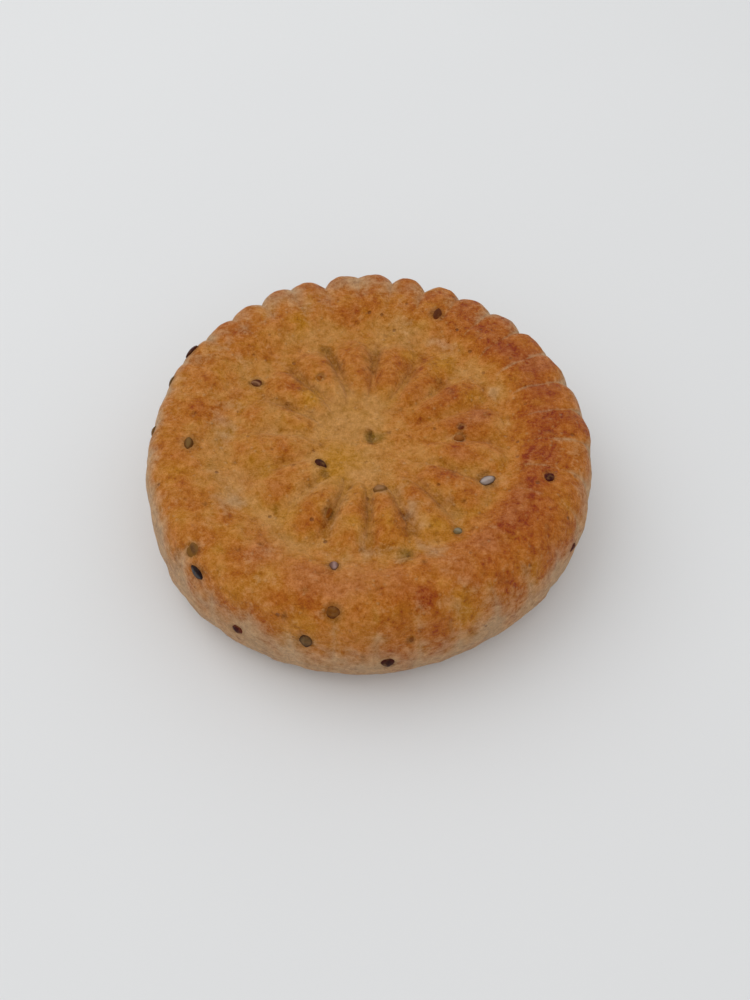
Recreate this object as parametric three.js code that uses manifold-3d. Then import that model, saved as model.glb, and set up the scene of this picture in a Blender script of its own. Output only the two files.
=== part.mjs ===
// A maamoul: a round shortcrust biscuit, pressed in a carved mould and baked, with black seeds in its dough.
// One closed solid in millimetres, +Z up. It rests on its flat base, whose middle is the origin.
// The top carries the mould's rosette of raised petals, a ring groove round it and a broad smooth rim.
// Flutes cross the rim and run down the flank. Baking has nearly smoothed them out on the -Y side.
import * as THREE from "three";
import { mergeVertices } from "three/addons/utils/BufferGeometryUtils.js";
import Module from "manifold-3d";

// The body's meridian: a flat top, a shoulder that rolls over to the widest line, and an arc in to the base.
const HEIGHT = 19.2;
const SHOULDER_RADIUS = 32; // where the top begins to roll over
const WIDEST_RADIUS = 37.75;
const WIDEST_HEIGHT = 8; // height of the widest line above the base
const BASE_RADIUS = 33;
const SHOULDER_POWER_NEAR = 2; // superellipse power of the shoulder, 2 being an ellipse, on the -Y side
const SHOULDER_POWER_FAR = 4.5; // and on the +Y side, where the flutes hold the edge squarer

// The rosette, pressed a little off the middle of the body.
const ROSETTE_CENTRE = new THREE.Vector2(0.6, -1.3);
const PETALS = 16;
const PETAL_START = THREE.MathUtils.degToRad(9.3); // bearing of the first petal, from +X towards +Y
const PETAL_MIDDLE_RADIUS = 15.6;
const PETAL_HALF_LENGTH = 7.2;
const PETAL_WIDTH_SHARE = 0.92; // of the pitch; the rest is the groove between two petals
const PETAL_HEIGHT = 1.05;
const PETAL_ROUNDNESS = 0.75; // power of a petal's back: 0.5 is round, 1 falls away to a crease

// The sunk field that the petals stand in, its ring groove, and the pit that the mould's centre mark leaves.
const FIELD_DEPTH = 1.8; // of the field below the rim
const RING_RADIUS = 23; // middle of the ring groove, where the rim starts to rise
const RIM_CREST_RADIUS = 29.5;
const PIT_PLACE = new THREE.Vector2(0.9, -0.5);
const PIT_RADIUS = 1.3;
const PIT_DEPTH = 0.6;

// The flutes of the rim and flank. Each valley was pressed to its own depth, and on the -Y side baking has
// smoothed them nearly out. The shares start with the valley after the first crest and go round.
const FLUTES = 34;
const FLUTE_START = THREE.MathUtils.degToRad(23.3); // bearing of the first crest
const FLUTE_DEPTH = 1.1;
const FLUTE_DEEPENS = [0.84, 1.3]; // steps along the meridian, as given below for the seeds
const FLUTE_FADES = [2.1, 2.9];
const VALLEY_SHARES = [
  0.3, 0.85, 0.7, 1, 1.6, 1.2, 0.35, 1.5, 0.45, 1.05, 0.55, 0.45, 0.4, 0.2, 0.25, 0.2, 0.15,
  0.1, 0.1, 0.15, 0.1, 0.1, 0.1, 0.1, 0.1, 0.15, 0.1, 0.15, 0.2, 0.25, 0.3, 0.25, 0.3, 0.6,
];

const LUMP_HEIGHT = 0.22; // soft unevenness of hand-pressed dough
const LUMP_LENGTH = 17;

// Slow wanderings of the real shape: each is a sum of [waves round the biscuit, size, bearing of the peak].
// The outline's are shares of the radius, the relief's of a petal's height, and the others degrees.
const OUTLINE_WAVES = [[1, 0.0055, 22], [2, 0.0086, 72], [3, 0.0128, -15], [6, 0.0032, -24]];
const RELIEF_WAVES = [[2, 0.25, 95]];
const PETAL_WAVES = [[1, 1.7, -44], [2, 1.5, 58], [3, 1.8, -3]];
const FLUTE_WAVES = [[2, 1.5, 60]];

// The mesh: columns round the biscuit, six to a flute, and rows from the middle of the top to the base.
const COLUMNS = 6 * FLUTES;
const TOP_ROW_RADII = [4.5, 8, 9.3, 11.5, 15.5, 19, 21.3, 22.8, 24.5, 27, 29.5, SHOULDER_RADIUS];
const SHOULDER_ROWS = 5;
const FLANK_ROWS = 4;

// Nigella seeds, bedded in the crust: where each shows, its size, and the turn of its length from the
// meridian in degrees. A place is a bearing in degrees and a step along the meridian: 0 is the middle of the
// top, 1 the shoulder, 2 the widest line and 3 the base's edge.
const SEED_THICKNESS = 1.4;
const SEED_PROUD = 0.35; // how far a seed stands out of the crust
const SEEDS_SHOWN = [
  { bearing: 341, step: 0.95, length: 1.9, width: 1.5, turn: 60 },
  { bearing: 64.5, step: 0.91, length: 2.2, width: 1.5, turn: 10 },
  { bearing: 149, step: 0.71, length: 2.8, width: 1.9, turn: 20 },
  { bearing: 124.5, step: 0.44, length: 1.9, width: 1.2, turn: 30 },
  { bearing: 186, step: 0.93, length: 2.4, width: 1.4, turn: 85 },
  { bearing: 223, step: 0.31, length: 2.2, width: 1.6, turn: 40 },
  { bearing: 221.5, step: 1.26, length: 2.6, width: 1.8, turn: 70 },
  { bearing: 225.5, step: 1.47, length: 2.9, width: 1.4, turn: -80 },
  { bearing: 259.5, step: 0.82, length: 2.3, width: 1.4, turn: 10 },
  { bearing: 262, step: 1.26, length: 3, width: 2.2, turn: 85 },
  { bearing: 256, step: 1.7, length: 2.3, width: 2, turn: 0 },
  { bearing: 238.5, step: 1.93, length: 2.1, width: 1.5, turn: 60 },
  { bearing: 275, step: 1.95, length: 2.3, width: 1.5, turn: 80 },
  { bearing: 334.5, step: 2, length: 1.8, width: 1.1, turn: 0 },
  { bearing: 334.5, step: 0.67, length: 3, width: 1.6, turn: 40 },
  { bearing: 307, step: 0.75, length: 2.1, width: 1.3, turn: 30 },
  { bearing: 280.5, step: 0.38, length: 2, width: 1.5, turn: 90 },
  { bearing: 359.5, step: 0.49, length: 2.4, width: 1.3, turn: 20 },
  { bearing: 249.5, step: 0.54, length: 2.4, width: 1.2, turn: 0 },
  { bearing: 149.5, step: 1.45, length: 2.6, width: 1.6, turn: 60 },
  { bearing: 160.5, step: 1.47, length: 2.4, width: 1.4, turn: 80 },
  { bearing: 178, step: 1.56, length: 2.3, width: 1.4, turn: 80 },
];
// More of them on the flank, where the order of the mix is not seen.
const FLANK_SEEDS = 9;
const FLANK_SEED_BEARINGS = [28, 152];
const FLANK_SEED_STEPS = [1.65, 2.7];
const FLANK_SEED_LENGTHS = [1.9, 2.8];
const FLANK_SEED_WIDTHS = [1.2, 1.9];
const MIX_SEED = 8;

// Sum of slow waves at a bearing.
function waves(list, bearing) {
  const degrees = THREE.MathUtils.radToDeg(bearing);
  return list.reduce(
    (sum, [times, size, peak]) => sum + size * Math.cos(THREE.MathUtils.degToRad(times * (degrees - peak))),
    0,
  );
}

// Height of a petal above its field, as a share: a superellipse in plan with a rounded back.
function petalBack(x, y) {
  const across = new THREE.Vector2(x, y).sub(ROSETTE_CENTRE);
  const bearing = Math.atan2(across.y, across.x);
  const wander = THREE.MathUtils.degToRad(waves(PETAL_WAVES, bearing));
  const pitches = ((bearing - PETAL_START - wander) * PETALS) / (2 * Math.PI);
  const side = (2 * (pitches - Math.round(pitches))) / PETAL_WIDTH_SHARE;
  const along = (across.length() - PETAL_MIDDLE_RADIUS) / PETAL_HALF_LENGTH;
  const back = Math.max(0, 1 - Math.abs(along) ** 3 - Math.abs(side) ** 2.4) ** PETAL_ROUNDNESS;
  return back * (1 + waves(RELIEF_WAVES, bearing));
}

// Height of the top face at a place on it.
function topHeight(x, y) {
  const radius = Math.hypot(x, y);
  const rise = THREE.MathUtils.smoothstep(radius, RING_RADIUS, RIM_CREST_RADIUS);
  const toPit = Math.hypot(x - PIT_PLACE.x, y - PIT_PLACE.y) / PIT_RADIUS;
  const pit = PIT_DEPTH * Math.exp(-toPit * toPit);
  return HEIGHT - FIELD_DEPTH * (1 - rise) + PETAL_HEIGHT * petalBack(x, y) - pit;
}

// Radius and height of the body without its flutes, at a step along the meridian of a bearing.
function meridian(step, bearing) {
  const stretch = 1 + waves(OUTLINE_WAVES, bearing);
  const far = (1 + Math.sin(bearing)) / 2;
  const power = THREE.MathUtils.lerp(SHOULDER_POWER_NEAR, SHOULDER_POWER_FAR, far);
  if (step <= 1) {
    const radius = step * SHOULDER_RADIUS * stretch;
    return new THREE.Vector2(radius, topHeight(radius * Math.cos(bearing), radius * Math.sin(bearing)));
  }
  if (step <= 2) {
    const turn = ((step - 1) * Math.PI) / 2;
    const out = Math.sin(turn) ** (2 / power);
    const up = Math.max(0, Math.cos(turn)) ** (2 / power);
    return new THREE.Vector2(
      (SHOULDER_RADIUS + (WIDEST_RADIUS - SHOULDER_RADIUS) * out) * stretch,
      WIDEST_HEIGHT + (HEIGHT - WIDEST_HEIGHT) * up,
    );
  }
  const turn = ((step - 2) * Math.PI) / 2;
  return new THREE.Vector2(
    (BASE_RADIUS + (WIDEST_RADIUS - BASE_RADIUS) * Math.cos(turn)) * stretch,
    WIDEST_HEIGHT * (1 - Math.sin(turn)),
  );
}

// Outward direction across the meridian, from the slope between two close steps.
function meridianNormal(step, bearing) {
  const reach = 0.02;
  const before = meridian(Math.max(0, step - reach), bearing);
  const after = meridian(Math.min(3, step + reach), bearing);
  return new THREE.Vector2(before.y - after.y, after.x - before.x).normalize();
}

// Depth of the flutes at a step along the meridian. The flutes are counted from the first crest, so a whole
// number is a crest, and the depth grows with the square of the phase, which is 1 or -1 in a valley.
function fluteDepth(step, flutes) {
  const start = THREE.MathUtils.smoothstep(step, ...FLUTE_DEEPENS);
  const end = 1 - THREE.MathUtils.smoothstep(step, ...FLUTE_FADES);
  const phase = 2 * (flutes - Math.round(flutes));
  const valley = THREE.MathUtils.euclideanModulo(Math.floor(flutes), FLUTES);
  return FLUTE_DEPTH * VALLEY_SHARES[valley] * start * end * phase * phase;
}

// Soft lumps of the dough, fading out at the base so that it stays flat.
function lump(x, y, z) {
  const turns = (2 * Math.PI) / LUMP_LENGTH;
  const field = Math.sin(turns * x + 1) * Math.sin(turns * y + 2) + Math.sin(turns * (x + y) * 0.6 + z * 0.3);
  return (LUMP_HEIGHT / 2) * field * THREE.MathUtils.smoothstep(z, 0, WIDEST_HEIGHT);
}

// How far the flutes at a bearing have wandered from even spacing, in radians.
function fluteWander(bearing) {
  return THREE.MathUtils.degToRad(waves(FLUTE_WAVES, bearing));
}

// A point of the crust, at a step along the meridian and the bearing it would have if the flutes were even.
function crustPoint(step, even) {
  const bearing = even + fluteWander(even);
  const flutes = ((even - FLUTE_START) * FLUTES) / (2 * Math.PI);
  const place = meridian(step, bearing);
  const normal = meridianNormal(step, bearing);
  const flat = new THREE.Vector3(place.x * Math.cos(bearing), place.x * Math.sin(bearing), place.y);
  const out = lump(flat.x, flat.y, flat.z) - fluteDepth(step, flutes);
  place.addScaledVector(normal, out);
  return new THREE.Vector3(place.x * Math.cos(bearing), place.x * Math.sin(bearing), Math.max(0, place.y));
}

// The crust as one closed grid, with a point at the middle of its top and of its base.
function makeCrust() {
  const steps = TOP_ROW_RADII.map((radius) => radius / SHOULDER_RADIUS);
  for (let row = 1; row <= SHOULDER_ROWS; row++) steps.push(1 + row / SHOULDER_ROWS);
  for (let row = 1; row <= FLANK_ROWS; row++) steps.push(2 + row / FLANK_ROWS);
  const points = [new THREE.Vector3(0, 0, topHeight(0, 0)), new THREE.Vector3(0, 0, 0)];
  for (const step of steps) {
    for (let column = 0; column < COLUMNS; column++) {
      points.push(crustPoint(step, FLUTE_START + (2 * Math.PI * column) / COLUMNS));
    }
  }
  const at = (row, column) => 2 + row * COLUMNS + (column % COLUMNS);
  const last = steps.length - 1;
  const index = [];
  for (let column = 0; column < COLUMNS; column++) {
    index.push(0, at(0, column), at(0, column + 1));
    index.push(1, at(last, column + 1), at(last, column));
    for (let row = 0; row < last; row++) {
      index.push(at(row, column), at(row + 1, column), at(row + 1, column + 1));
      index.push(at(row, column), at(row + 1, column + 1), at(row, column + 1));
    }
  }
  return new THREE.BufferGeometry().setFromPoints(points).setIndex(index);
}

// A seed as a low ellipsoid, lying in the crust's surface with its length turned from the meridian.
function makeSeed({ bearing, step, length, width, turn }) {
  const angle = THREE.MathUtils.degToRad(bearing);
  const slope = meridianNormal(step, angle);
  const outward = new THREE.Vector3(Math.cos(angle), Math.sin(angle), 0);
  const normal = new THREE.Vector3(0, 0, slope.y).addScaledVector(outward, slope.x);
  const across = new THREE.Vector3(-Math.sin(angle), Math.cos(angle), 0);
  const along = across.clone().cross(normal);
  const centre = crustPoint(step, angle - fluteWander(angle));
  centre.addScaledVector(normal, SEED_PROUD - SEED_THICKNESS / 2);
  const seed = new THREE.OctahedronGeometry(1, 1);
  seed.scale(length / 2, width / 2, SEED_THICKNESS / 2);
  seed.rotateZ(THREE.MathUtils.degToRad(turn));
  seed.applyMatrix4(new THREE.Matrix4().makeBasis(along, across, normal).setPosition(centre));
  return seed;
}

// Seeds strewn over the flank by a repeatable draw.
function strewnSeeds() {
  let state = MIX_SEED;
  const draw = ([low, high]) => {
    state = (state * 16807) % 2147483647;
    return low + ((high - low) * state) / 2147483647;
  };
  const [first, last] = FLANK_SEED_BEARINGS;
  const share = (last - first) / FLANK_SEEDS;
  return Array.from({ length: FLANK_SEEDS }, (_, place) => ({
    bearing: draw([first + place * share, first + (place + 1) * share]),
    step: draw(FLANK_SEED_STEPS),
    length: draw(FLANK_SEED_LENGTHS),
    width: draw(FLANK_SEED_WIDTHS),
    turn: draw([0, 180]),
  }));
}

// A three.js geometry as a solid that can be joined to others.
const wasm = await Module();
wasm.setup();
function toSolid(geometry) {
  geometry.deleteAttribute("normal");
  geometry.deleteAttribute("uv");
  const merged = mergeVertices(geometry, 1e-4);
  return new wasm.Manifold(
    new wasm.Mesh({
      numProp: 3,
      vertProperties: new Float32Array(merged.attributes.position.array),
      triVerts: new Uint32Array(merged.index.array),
    }),
  );
}

// The crust and its seeds, fused, with the middle of the base at the origin.
function makeMaamoul() {
  const seeds = [...SEEDS_SHOWN, ...strewnSeeds()].map((seed) => toSolid(makeSeed(seed)));
  const fused = seeds.reduce((body, seed) => body.add(seed), toSolid(makeCrust())).getMesh();
  const geometry = new THREE.BufferGeometry();
  geometry.setAttribute("position", new THREE.BufferAttribute(fused.vertProperties, 3));
  geometry.setIndex(new THREE.BufferAttribute(fused.triVerts, 1));
  geometry.computeBoundingBox();
  const middle = geometry.boundingBox.getCenter(new THREE.Vector3());
  geometry.translate(-middle.x, -middle.y, -geometry.boundingBox.min.z);
  geometry.computeVertexNormals();
  return geometry;
}

const crustMaterial = new THREE.MeshStandardMaterial({ color: 0xa06837, roughness: 0.75, metalness: 0 });
const maamoul = new THREE.Mesh(makeMaamoul(), crustMaterial);
maamoul.name = "maamoul";

const biscuit = new THREE.Group();
biscuit.add(maamoul);
export default biscuit;
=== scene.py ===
"""A maamoul: a round pressed biscuit with a moulded rosette, a fluted rim and nigella seeds in its crust.

The crust and its seeds are surfaces worked out as arrays in millimetres, and put into meshes in metres.
"""

import bpy
import numpy as np
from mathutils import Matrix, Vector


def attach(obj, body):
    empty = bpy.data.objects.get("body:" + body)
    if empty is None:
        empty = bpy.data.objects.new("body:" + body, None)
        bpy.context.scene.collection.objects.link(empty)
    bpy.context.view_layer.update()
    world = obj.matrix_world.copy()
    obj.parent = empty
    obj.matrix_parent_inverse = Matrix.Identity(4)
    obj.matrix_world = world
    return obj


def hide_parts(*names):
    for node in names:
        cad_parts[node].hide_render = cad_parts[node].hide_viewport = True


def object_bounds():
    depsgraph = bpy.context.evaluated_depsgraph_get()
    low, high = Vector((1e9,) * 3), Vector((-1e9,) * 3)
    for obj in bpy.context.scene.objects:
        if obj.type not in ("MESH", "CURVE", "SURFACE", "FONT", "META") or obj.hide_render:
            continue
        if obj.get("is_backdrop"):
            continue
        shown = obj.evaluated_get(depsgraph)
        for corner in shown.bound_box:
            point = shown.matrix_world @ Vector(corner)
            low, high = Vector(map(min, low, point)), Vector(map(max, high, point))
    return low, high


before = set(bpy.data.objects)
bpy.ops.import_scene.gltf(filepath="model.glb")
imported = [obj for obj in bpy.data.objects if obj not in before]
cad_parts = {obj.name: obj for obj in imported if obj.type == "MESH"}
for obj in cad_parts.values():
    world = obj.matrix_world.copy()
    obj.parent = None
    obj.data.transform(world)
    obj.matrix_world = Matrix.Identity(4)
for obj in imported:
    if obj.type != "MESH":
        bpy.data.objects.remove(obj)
cad_low, cad_high = (np.array(corner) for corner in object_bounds())

# ---------------------------------------------------------------------------------------------------------
# The viewpoint: the biscuit is looked at from in front, 55 degrees down, as by someone at the table.
# The camera stands on the near side, along -Y, and has no shift and no depth of field. Its place is in
# metres, its lens and sensor in millimetres.
CAMERA_PLACE = (0.00088, -0.10422, 0.14736)
CAMERA_PITCH_DEGREES = 55.1
LENS = 36.0
SENSOR = 36.0
NEAR_CLIP = 0.005

viewpoint = bpy.data.cameras.new("viewpoint")
viewpoint.lens = LENS
viewpoint.sensor_width = SENSOR
viewpoint.sensor_fit = "AUTO"
viewpoint.clip_start = NEAR_CLIP
camera = bpy.data.objects.new("viewpoint", viewpoint)
camera.location = CAMERA_PLACE
camera.rotation_euler = (np.radians(90 - CAMERA_PITCH_DEGREES), 0, 0)
bpy.context.scene.collection.objects.link(camera)
bpy.context.scene.camera = camera

# ---------------------------------------------------------------------------------------------------------
# The crust: shortcrust dough pressed into a carved wooden mould, knocked out and baked on a tray. The
# mould leaves a rosette of petals, a ring groove and a fluted edge, and the oven browns what stands
# highest. The sizes are in millimetres, and the bearings in degrees from the +X axis.
MILLIMETRE = 0.001
HEIGHT = 19.2
SHOULDER_RADIUS = 32.0
WIDEST_RADIUS = 37.75
WIDEST_HEIGHT = 8.0
BASE_RADIUS = 33.0
SHOULDER_POWER_NEAR = 2.0
SHOULDER_POWER_FAR = 4.5

ROSETTE_CENTRE = (0.6, -1.3)
PETALS = 16
PETAL_START_DEGREES = 9.3
PETAL_MIDDLE_RADIUS = 15.6
PETAL_HALF_LENGTH = 7.2
PETAL_WIDTH_SHARE = 0.92
PETAL_HEIGHT = 1.22
PETAL_END_POWER = 3
PETAL_SIDE_POWER = 2.4
PETAL_ROUNDNESS = 1.0

FIELD_DEPTH = 1.8
RING_RADIUS = 23.0
RIM_CREST_RADIUS = 29.5
PIT_PLACE = (0.9, -0.5)
PIT_RADIUS = 1.3
PIT_DEPTH = 0.6

FLUTES = 34
FLUTE_START_DEGREES = 23.3
FLUTE_DEPTH = 1.1
FLUTE_DEEPENS = (0.84, 1.3)
FLUTE_FADES = (2.1, 2.9)
VALLEY_SHARES = np.array(
    (0.3, 0.85, 0.7, 1.0, 1.6, 1.2, 0.35, 1.5, 0.45, 1.05, 0.55, 0.45, 0.4, 0.2, 0.25, 0.2, 0.15)
    + (0.1, 0.1, 0.15, 0.1, 0.1, 0.1, 0.1, 0.1, 0.15, 0.1, 0.15, 0.2, 0.25, 0.3, 0.25, 0.3, 0.6)
)

LUMP_HEIGHT = 0.22
LUMP_LENGTH = 17.0
SLANTED_LUMPS = 0.6
RISING_LUMPS = 0.3

OUTLINE_WAVES = ((1, 0.0055, 22), (2, 0.0086, 72), (3, 0.0128, -15), (6, 0.0032, -24))
RELIEF_WAVES = ((2, 0.25, 95),)
PETAL_WAVES = ((1, 1.7, -44), (2, 1.5, 58), (3, 1.8, -3))
FLUTE_WAVES = ((2, 1.5, 60),)

COLUMNS = 20 * FLUTES
TOP_ROWS = 86
SHOULDER_ROWS = 34
FLANK_ROWS = 18
BASE_ROWS = 6


def smoothstep(low, high, value):
    """0 below low, 1 above high, and a smooth cubic between them."""
    share = np.clip((value - low) / (high - low), 0, 1)
    return share * share * (3 - 2 * share)


def waves(terms, degrees):
    """Sum of cosines round the biscuit: a term is how many waves, their size and the bearing of a peak."""
    return sum(size * np.cos(np.radians(times * (degrees - peak))) for times, size, peak in terms)


def petal_back(x, y):
    """Height of the petals as a share: 1 less a power of the way along a petal from its middle, less a
    power of the way across it, and never below 0. A slow wave round the biscuit makes it higher on two
    sides."""
    bearing = np.degrees(np.arctan2(y - ROSETTE_CENTRE[1], x - ROSETTE_CENTRE[0]))
    pitches = (bearing - PETAL_START_DEGREES - waves(PETAL_WAVES, bearing)) * PETALS / 360
    side = 2 * (pitches - np.round(pitches)) / PETAL_WIDTH_SHARE
    radius = np.hypot(x - ROSETTE_CENTRE[0], y - ROSETTE_CENTRE[1])
    along = (radius - PETAL_MIDDLE_RADIUS) / PETAL_HALF_LENGTH
    back = np.maximum(0, 1 - np.abs(along) ** PETAL_END_POWER - np.abs(side) ** PETAL_SIDE_POWER)
    return back**PETAL_ROUNDNESS * (1 + waves(RELIEF_WAVES, bearing))


def top_height(x, y):
    """Height of the top face: the rim, less the sunk field in the ring, plus the petals, less the pit. The
    pit is a bell curve of the distance from its middle."""
    rise = smoothstep(RING_RADIUS, RIM_CREST_RADIUS, np.hypot(x, y))
    to_pit = np.hypot(x - PIT_PLACE[0], y - PIT_PLACE[1]) / PIT_RADIUS
    pit = PIT_DEPTH * np.exp(-(to_pit**2))
    return HEIGHT - FIELD_DEPTH * (1 - rise) + PETAL_HEIGHT * petal_back(x, y) - pit


def meridian(step, degrees):
    """Radius and height of the body without flutes. From step 0 to 1 the radius grows evenly over the top,
    from 1 to 2 a superellipse turns down to the widest line, and from 2 to 3 an ellipse turns in to the
    base."""
    stretch = 1 + waves(OUTLINE_WAVES, degrees)
    bearing = np.radians(degrees)
    power = SHOULDER_POWER_NEAR + (SHOULDER_POWER_FAR - SHOULDER_POWER_NEAR) * (1 + np.sin(bearing)) / 2
    top_radius = np.clip(step, 0, 1) * SHOULDER_RADIUS * stretch
    over = np.clip(step - 1, 0, 1) * np.pi / 2
    under = np.clip(step - 2, 0, 1) * np.pi / 2
    shoulder_out = np.sin(over) ** (2 / power)
    shoulder_up = np.maximum(0, np.cos(over)) ** (2 / power)
    shoulder_radius = (SHOULDER_RADIUS + (WIDEST_RADIUS - SHOULDER_RADIUS) * shoulder_out) * stretch
    flank_radius = (BASE_RADIUS + (WIDEST_RADIUS - BASE_RADIUS) * np.cos(under)) * stretch
    radius = np.where(step <= 1, top_radius, np.where(step <= 2, shoulder_radius, flank_radius))
    height = np.where(
        step <= 1,
        top_height(top_radius * np.cos(bearing), top_radius * np.sin(bearing)),
        np.where(
            step <= 2,
            WIDEST_HEIGHT + (HEIGHT - WIDEST_HEIGHT) * shoulder_up,
            WIDEST_HEIGHT * (1 - np.sin(under)),
        ),
    )
    return radius, height


def meridian_normal(step, degrees):
    """Outward direction across the meridian, as a radial and an upward share, from two close steps."""
    reach = 0.02
    before = meridian(np.maximum(0, step - reach), degrees)
    after = meridian(np.minimum(3, step + reach), degrees)
    out, up = before[1] - after[1], after[0] - before[0]
    length = np.hypot(out, up)
    return out / length, up / length


def flute_depth(step, flutes):
    """Depth of the flutes: a parabola of the phase, which is 0 on a crest and 1 or -1 in a valley, times
    the valley's own share, fading in over the rim and out towards the base. The flutes are counted from the
    first."""
    along = smoothstep(*FLUTE_DEEPENS, step) * (1 - smoothstep(*FLUTE_FADES, step))
    phase = 2 * (flutes - np.round(flutes))
    valley = np.floor(flutes).astype(int) % FLUTES
    return FLUTE_DEPTH * VALLEY_SHARES[valley] * along * phase**2


def lump(x, y, z):
    """Soft unevenness of the dough: a product and a sum of sines in space, fading out at the flat base."""
    turns = 2 * np.pi / LUMP_LENGTH
    slanted = np.sin(turns * (x + y) * SLANTED_LUMPS + z * RISING_LUMPS)
    field = np.sin(turns * x + 1) * np.sin(turns * y + 2) + slanted
    return LUMP_HEIGHT / 2 * field * smoothstep(0, WIDEST_HEIGHT, z)


def crust_point(step, even_degrees, grain=0.0):
    """Points of the crust in millimetres, from steps along the meridian and the bearings that the columns
    would have if the flutes were even: the meridian's point, moved along its normal by the lumps and the
    grain, less the flutes."""
    degrees = even_degrees + waves(FLUTE_WAVES, even_degrees)
    bearing = np.radians(degrees)
    flutes = (even_degrees - FLUTE_START_DEGREES) * FLUTES / 360
    radius, height = meridian(step, degrees)
    out, up = meridian_normal(step, degrees)
    rise = lump(radius * np.cos(bearing), radius * np.sin(bearing), height)
    rise = rise + grain - flute_depth(step, flutes)
    radius = radius + rise * out
    height = np.maximum(0, height + rise * up)
    return np.stack([radius * np.cos(bearing), radius * np.sin(bearing), height], axis=-1)


LATTICE = 64
LATTICE_SHIFT = 1000.0


def soft_noise(points, size, draw_seed):
    """Smooth random field from -1 to 1: random values at the corners of cubes of this size, blended by a
    smooth cubic along each axis."""
    lattice = np.random.default_rng(draw_seed).uniform(-1, 1, (LATTICE, LATTICE, LATTICE))
    cell = points / size + LATTICE_SHIFT
    corner = np.floor(cell).astype(int)
    share = cell - corner
    share = share * share * (3 - 2 * share)
    total = 0.0
    for i in (0, 1):
        for j in (0, 1):
            for k in (0, 1):
                weight = 1.0
                for axis, side in enumerate((i, j, k)):
                    weight = weight * (share[..., axis] if side else 1 - share[..., axis])
                x, y, z = np.moveaxis((corner + (i, j, k)) % LATTICE, -1, 0)
                total = total + weight * lattice[x, y, z]
    return total


# Where each seed shows, as a hollow in the crust and as a seed in it: its bearing, its step along the
# meridian, its length and width, the turn of its length from the meridian, and its look, which the seeds'
# section explains.
SEEDS_SHOWN = (
    (341, 0.95, 2.1, 1.9, 60, "maroon"),
    (64.5, 0.91, 2.7, 1.7, 10, "brown"),
    (149, 0.71, 2.2, 1.8, 5, "split"),
    (124.5, 0.44, 1.7, 0.9, 0, "faint"),
    (186, 0.93, 2.7, 1.5, 85, "olive"),
    (220.5, 0.298, 2.3, 1.6, 100, "purple"),
    (221.5, 1.26, 2.5, 1.9, 70, "buried"),
    (225.5, 1.47, 2.9, 1.7, -98, "black"),
    (259.5, 0.82, 2.3, 1.8, 10, "lilac"),
    (262, 1.26, 2.8, 2.0, 85, "outlined"),
    (256, 1.7, 2.8, 1.9, 0, "grey"),
    (238.5, 1.91, 2.5, 1.8, 0, "maroon"),
    (275, 1.95, 2.6, 2.2, 0, "purple"),
    (330.5, 1.84, 1.8, 1.9, 0, "maroon"),
    (334.5, 0.67, 3.1, 1.7, 52, "silver"),
    (307, 0.75, 1.8, 1.7, 30, "slate"),
    (281, 0.36, 2.1, 2.0, 90, "tan"),
    (357.5, 0.48, 1.8, 1.2, 10, "veiled"),
    (3.4, 0.49, 1.4, 0.7, 15, "rusty"),
    (249.5, 0.53, 2.0, 0.7, 0, "faint"),
    (280.5, 1.67, 1.5, 1.2, 0, "faint"),
    (149.5, 1.42, 3.0, 1.6, 60, "proud"),
    (160.5, 1.47, 2.4, 1.3, 80, "thin"),
    (178, 1.56, 2.3, 1.1, 80, "thin"),
)
FLANK_SEEDS = 9
FLANK_SEED_BEARINGS = (28, 152)
FLANK_SEED_STEPS = (1.65, 2.7)
FLANK_SEED_LENGTHS = (1.9, 2.8)
FLANK_SEED_WIDTHS = (1.2, 1.9)
FLANK_SEED_LOOKS = ("purple", "brown", "maroon", "grey", "black")
MIX_SEED = 8
DRAW_FACTOR = 16807
DRAW_MODULUS = 2147483647


def strewn_seeds():
    """Seeds strewn over the far flank, one to each equal share of its bearings, by a repeatable draw: each
    number is the factor times the last one, less all whole moduli."""
    state = MIX_SEED

    def draw(low, high):
        nonlocal state
        state = state * DRAW_FACTOR % DRAW_MODULUS
        return low + (high - low) * state / DRAW_MODULUS

    first, last = FLANK_SEED_BEARINGS
    share = (last - first) / FLANK_SEEDS
    return tuple(
        (
            draw(first + place * share, first + (place + 1) * share),
            draw(*FLANK_SEED_STEPS),
            draw(*FLANK_SEED_LENGTHS),
            draw(*FLANK_SEED_WIDTHS),
            draw(0, 180),
            FLANK_SEED_LOOKS[place % len(FLANK_SEED_LOOKS)],
        )
        for place in range(FLANK_SEEDS)
    )


seeds_placed = SEEDS_SHOWN + strewn_seeds()


def seed_bed(degrees, step):
    """Where a seed lies: the crust's point there, and the outward, along and across directions."""
    angle = np.radians(degrees)
    out, up = meridian_normal(np.float64(step), np.float64(degrees))
    outward = np.array([out * np.cos(angle), out * np.sin(angle), up])
    across = np.array([-np.sin(angle), np.cos(angle), 0.0])
    along = np.cross(across, outward)
    point = crust_point(np.float64(step), np.float64(degrees - waves(FLUTE_WAVES, degrees)))
    return point, outward, along, across


# Rows of the grid, closer together where the mould's relief is. The first is a small ring in the middle.
FIRST_STEP = 0.006
steps = np.concatenate(
    [
        np.linspace(FIRST_STEP, 1, TOP_ROWS, endpoint=False),
        1 + np.linspace(0, 1, SHOULDER_ROWS, endpoint=False),
        2 + np.linspace(0, 1, FLANK_ROWS),
    ]
)[:, None]
columns = FLUTE_START_DEGREES + np.arange(COLUMNS)[None] * 360 / COLUMNS
smooth_crust = crust_point(steps, columns)

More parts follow.
